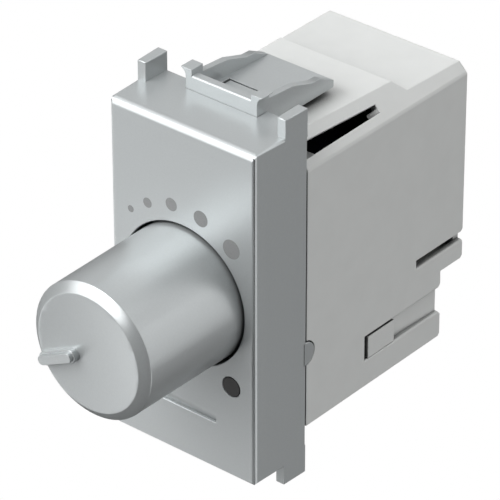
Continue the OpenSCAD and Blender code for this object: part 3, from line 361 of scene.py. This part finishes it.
def black_plastic():
    """Dull black moulding of the switch, the transistor and the fuse."""
    return finish_material(
        "black_plastic", (0.012, 0.012, 0.013), (0.02, 0.02, 0.021),
        cloud=1 * MM, rough=(0.4, 0.5), grain=0.1 * MM, depth=0.003 * MM)


def green_plastic():
    """Green case of the potentiometer."""
    return finish_material(
        "green_plastic", (0.02, 0.16, 0.09), (0.03, 0.2, 0.115),
        cloud=1.5 * MM, rough=(0.35, 0.45), grain=0.12 * MM, depth=0.002 * MM)


def white_plastic():
    """Slightly see-through white moulding of the shaft, rotor and plunger."""
    return finish_material(
        "white_plastic", (0.68, 0.67, 0.62), (0.74, 0.73, 0.69),
        cloud=1.5 * MM, rough=(0.35, 0.42), grain=0.15 * MM, depth=0.001 * MM,
        Subsurface_Weight=0.1)


def steel():
    """Bright steel of the screws, washer, clip and spring."""
    return finish_material(
        "steel", (0.42, 0.43, 0.44), (0.55, 0.56, 0.57),
        cloud=0.2 * MM, rough=(0.22, 0.34), grain=0.08 * MM, depth=0.001 * MM,
        stretch=(1, 1, 6), Metallic=1.0)


def brass():
    """Brass of the bushing, contacts and terminals, drawn along X."""
    return finish_material(
        "brass", (0.62, 0.43, 0.18), (0.74, 0.54, 0.25),
        cloud=0.3 * MM, rough=(0.22, 0.36), grain=0.08 * MM, depth=0.001 * MM,
        stretch=(6, 1, 1), Metallic=1.0)


def aluminium():
    """Brushed sheet of the heat sink."""
    return finish_material(
        "aluminium", (0.62, 0.63, 0.64), (0.72, 0.73, 0.74),
        cloud=0.2 * MM, rough=(0.28, 0.4), grain=0.06 * MM, depth=0.0015 * MM,
        stretch=(12, 1, 1), Metallic=1.0)


def board_laminate():
    """Green solder mask over a faint glass weave, its colour darkened nearly to black as painted shade
    behind the vent slot.
    """
    return finish_material(
        "board", (0.004, 0.018, 0.010), (0.006, 0.026, 0.014),
        cloud=0.6 * MM, rough=(0.25, 0.35), grain=0.3 * MM, depth=0.004 * MM,
        detail=4.0, Coat_Weight=0.3)


def carbon():
    """Dull carbon film of the resistive track."""
    return finish_material(
        "carbon", (0.015, 0.014, 0.013), (0.03, 0.029, 0.028),
        cloud=0.2 * MM, rough=(0.5, 0.65), grain=0.05 * MM, depth=0.002 * MM)


def ferrite():
    """Rough sintered core of the choke."""
    return finish_material(
        "ferrite", (0.045, 0.047, 0.05), (0.08, 0.082, 0.086),
        cloud=0.25 * MM, rough=(0.55, 0.7), grain=0.12 * MM, depth=0.01 * MM,
        detail=5.0)


def copper_wire():
    """Enamelled copper wire of the choke."""
    return finish_material(
        "copper_wire", (0.42, 0.12, 0.035), (0.58, 0.2, 0.07),
        cloud=0.4 * MM, rough=(0.18, 0.28), grain=0.1 * MM, depth=0.001 * MM,
        Metallic=0.8, Coat_Weight=0.5)


def capacitor_film():
    """Glossy ochre case of the film capacitor."""
    return finish_material(
        "capacitor_film", (0.5, 0.2, 0.02), (0.6, 0.27, 0.035),
        cloud=0.8 * MM, rough=(0.25, 0.35), grain=0.4 * MM, depth=0.003 * MM,
        Coat_Weight=0.4)


def capacitor_sleeve():
    """Black shrunk sleeve of the electrolytic capacitor."""
    return finish_material(
        "capacitor_sleeve", (0.006, 0.007, 0.009), (0.011, 0.012, 0.015),
        cloud=0.8 * MM, rough=(0.3, 0.4), grain=0.5 * MM, depth=0.002 * MM)


def varistor_blue():
    """Dark blue dip coat, its colour darkened nearly to black as painted shade behind the vent slot."""
    return finish_material(
        "varistor_blue", (0.004, 0.006, 0.012), (0.006, 0.009, 0.018),
        cloud=0.7 * MM, rough=(0.25, 0.4), grain=0.35 * MM, depth=0.006 * MM)


def led_epoxy():
    """Clear epoxy of the indicator's light."""
    return finish_material(
        "led_epoxy", (0.55, 0.56, 0.57), (0.62, 0.63, 0.64),
        cloud=0.8 * MM, rough=(0.08, 0.14), grain=0.5 * MM, depth=0.0005 * MM,
        Transmission_Weight=0.6, IOR=1.5)


def smoked_lens():
    """Smoked moulding over the indicator."""
    return finish_material(
        "lens", (0.028, 0.028, 0.028), (0.034, 0.034, 0.034),
        cloud=1.2 * MM, rough=(0.16, 0.22), grain=0.5 * MM, depth=0.0004 * MM,
        IOR=1.49)


def dot_ink():
    """Matt grey ink of the printed dots."""
    return finish_material(
        "dot_ink", (0.2, 0.205, 0.206), (0.225, 0.23, 0.231),
        cloud=0.25 * MM, rough=(0.45, 0.55), grain=0.1 * MM, depth=0.001 * MM)


def use_material(obj, mat):
    """Gives an object this one material."""
    obj.data.materials.clear()
    obj.data.materials.append(mat)


def body_of(node):
    """Name of the body that a CAD node rides on."""
    return next(name for name, body in frame["bodies"].items() if nodes[node].parent == body)


def add_piece(name, shape, mat, body):
    """Makes a piece of the module from a bmesh and puts it on its body."""
    mesh = bpy.data.meshes.new(name)
    shape.to_mesh(mesh)
    shape.free()
    obj = bpy.data.objects.new(name, mesh)
    scene.collection.objects.link(obj)
    use_material(obj, mat)
    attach(obj, body)
    return obj


def edge_room(edge):
    """Distance from an edge to the nearest other corner of the two faces that meet in it."""
    start, end = (corner.co for corner in edge.verts)
    corners = {corner for face in edge.link_faces for corner in face.verts} - set(edge.verts)
    room = math.inf
    for corner in corners:
        foot, along = geometry.intersect_point_line(corner.co, start, end)
        foot = start.lerp(end, min(max(along, 0), 1))
        room = min(room, (corner.co - foot).length)
    return room


def inside(place, low, high):
    """Whether a place is in the box between two corners."""
    return all(low[i] < place[i] < high[i] for i in range(3))


def mark_hard_edges(shape, width, zones):
    """Gives each hard outer edge its zone's share of the width, or what its faces have room for."""
    weight = shape.edges.layers.float.new("bevel_weight_edge")
    for edge in shape.edges:
        if edge.calc_face_angle(0) < EDGE_ANGLE or not edge.is_convex:
            continue
        middle = (edge.verts[0].co + edge.verts[1].co) / 2
        within = [share for low, high, share in zones if inside(middle, low, high)]
        wanted = within[0] if within else 1
        share = min(wanted, ROOM_SHARE * edge_room(edge) / width)
        if share > LEAST_SHARE * wanted:
            edge[weight] = share


def apply_modifiers(obj):
    """Makes an object's mesh what its modifiers show."""
    bpy.context.view_layer.update()
    made = bpy.data.meshes.new_from_object(obj.evaluated_get(bpy.context.evaluated_depsgraph_get()))
    obj.modifiers.clear()
    obj.data = made


def mark_folds(mesh):
    """Keeps the edges sharp that no rounding has opened up."""
    shape = bmesh.new()
    shape.from_mesh(mesh)
    for edge in shape.edges:
        if edge.calc_face_angle(0) > FOLD_ANGLE:
            edge.smooth = False
    shape.to_mesh(mesh)
    shape.free()


def slice_plate(shape):
    """Cuts the plate across near its sides, so that the ends of its long faces don't shade their middle."""
    for x in (-PLATE_CUT, PLATE_CUT):
        bmesh.ops.bisect_plane(
            shape, geom=[*shape.verts, *shape.edges, *shape.faces], plane_co=(x, 0, 0), plane_no=(1, 0, 0))


def front_faces(shape, level):
    """Faces that look forward from a flat at this y."""
    shape.normal_update()
    return [face for face in shape.faces
            if face.normal.y < -FORWARD and abs(face.calc_center_median().y - level) < MERGE]


def hollow_front(shape):
    """Cuts the knob's flat front into a grid and hollows it by a shallow dish."""
    forward = [face for face in shape.faces if face.normal.y < -FORWARD]
    level = max(forward, key=lambda face: face.calc_area()).verts[0].co.y
    radius = max(corner.co.xz.length for face in front_faces(shape, level) for corner in face.verts)
    steps = int(radius / DISH_GRID)
    for across in (Vector((1, 0, 0)), Vector((0, 0, 1))):
        for step in range(-steps, steps + 1):
            cut = front_faces(shape, level)
            edges = {edge for face in cut for edge in face.edges}
            corners = {corner for face in cut for corner in face.verts}
            place = across * step * DISH_GRID
            bmesh.ops.bisect_plane(shape, geom=[*cut, *edges, *corners], plane_co=place, plane_no=across)
    for corner in {corner for face in front_faces(shape, level) for corner in face.verts}:
        corner.co.y += DISH_DEPTH * max(1 - (corner.co.xz.length / radius) ** 2, 0)


def soften(node, width, zones=(), reshape=None):
    """Stands in for a CAD node with the same solid, its flats merged and its hard edges rounded.
    Each zone is a box by its two corners, and the share of the width its edges get."""
    shape = bmesh.new()
    shape.from_mesh(nodes[node].data)
    for layer in list(shape.loops.layers.float_vector.values()):
        shape.loops.layers.float_vector.remove(layer)
    bmesh.ops.remove_doubles(shape, verts=shape.verts, dist=MERGE)
    bmesh.ops.dissolve_limit(shape, angle_limit=FLAT_ANGLE, verts=shape.verts, edges=shape.edges)
    mark_hard_edges(shape, width, zones)
    if reshape:
        reshape(shape)
    for face in shape.faces:
        face.smooth = True
    obj = add_piece(node + "_finished", shape, finishes[slots[node]], body_of(node))
    obj.data.set_sharp_from_angle(angle=EDGE_ANGLE)
    bevel = obj.modifiers.new("soft_edges", "BEVEL")
    bevel.width = width
    bevel.segments = EDGE_STEPS
    bevel.limit_method = "WEIGHT"
    bevel.use_clamp_overlap = False
    apply_modifiers(obj)
    mark_folds(obj.data)
    obj.modifiers.new("flat_faces", "WEIGHTED_NORMAL").keep_sharp = True
    apply_modifiers(obj)
    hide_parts(node)


def soften_plate_and_latch():
    """Softens both, and keeps the edges sharp where the latch's strip comes out of the plate."""
    low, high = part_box("release_latch")
    below = Vector((low.x, low.y - SEAM, PLATE_TOP - SEAM))
    above = Vector((high.x, 0, PLATE_TOP + SEAM))
    strip_foot = (below, above, 0)
    soften("front_plate", PLATE_EDGE, [strip_foot], reshape=slice_plate)
    soften("release_latch", LATCH_EDGE, [strip_foot])


def soften_housing():
    """Softens the housing, most of all round its rear face, and keeps the lips of its slits sharp."""
    low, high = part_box("housing_shell")
    ahead_of_rear = (low, Vector((high.x, high.y - REAR_BAND, high.z)), HOUSING_SHARE)
    slit = (Vector((low.x, SLIT_FRONT, SLIT_LOW)), Vector((high.x, high.y - REAR_BAND, SLIT_HIGH)), 0)
    soften("housing_shell", HOUSING_EDGE, [slit, ahead_of_rear])


def shorten_spring():
    """Stands in for the return spring with an unchanged copy of its mesh; the real spring shortens against
    the switch's floor as the knob is pushed.
    """
    shape = bmesh.new()
    shape.from_mesh(nodes["return_spring"].data)
    spring = add_piece("return_spring_coil", shape, finishes["steel"], "module")
    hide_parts("return_spring")
    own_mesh(spring)


def print_dots(mat):
    """Five printed dots that grow clockwise round the knob's upper half, and that the knob doesn't mirror.
    The CAD has no slot for ink, so they take the given ink material."""
    plate_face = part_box("front_plate")[0].y
    shape = bmesh.new()
    for angle, diameter in DOTS:
        a = math.radians(angle)
        centre = Vector((DOT_RING * math.cos(a), plate_face, DOT_RING * math.sin(a)))
        stand = Matrix.Translation(centre) @ Matrix.Rotation(math.radians(90), 4, "X")
        radius = diameter * MM / 2
        bmesh.ops.create_cone(
            shape, cap_ends=True, segments=DOT_SIDES, radius1=radius, radius2=radius, depth=2 * DOT_THICK,
            matrix=stand)
    dots = add_piece("printed_dots", shape, mat, "module")
    hide_from_light(dots)


make_camera()
make_room_light()
make_stage()
scene.view_settings.view_transform = "Standard"

finishes = {
    "silver_paint": silver_paint(),
    "housing_plastic": housing_plastic(),
    "carrier_plastic": carrier_plastic(),
    "black_plastic": black_plastic(),
    "green_plastic": green_plastic(),
    "white_plastic": white_plastic(),
    "steel": steel(),
    "brass": brass(),
    "aluminium": aluminium(),
    "board": board_laminate(),
    "carbon": carbon(),
    "ferrite": ferrite(),
    "copper_wire": copper_wire(),
    "capacitor_film": capacitor_film(),
    "capacitor_sleeve": capacitor_sleeve(),
    "varistor_blue": varistor_blue(),
    "led_epoxy": led_epoxy(),
    "lens": smoked_lens(),
}
slots = {name: obj.data.materials[0].name for name, obj in nodes.items()}
for name, obj in nodes.items():
    use_material(obj, finishes[slots[name]])

soften_plate_and_latch()
soften_housing()
soften("rotary_knob", KNOB_EDGE, reshape=hollow_front)
soften("terminal_block", BLOCK_EDGE)
soften("chassis", CARRIER_EDGE)
soften("indicator_lens", LENS_EDGE)
shorten_spring()
print_dots(dot_ink())
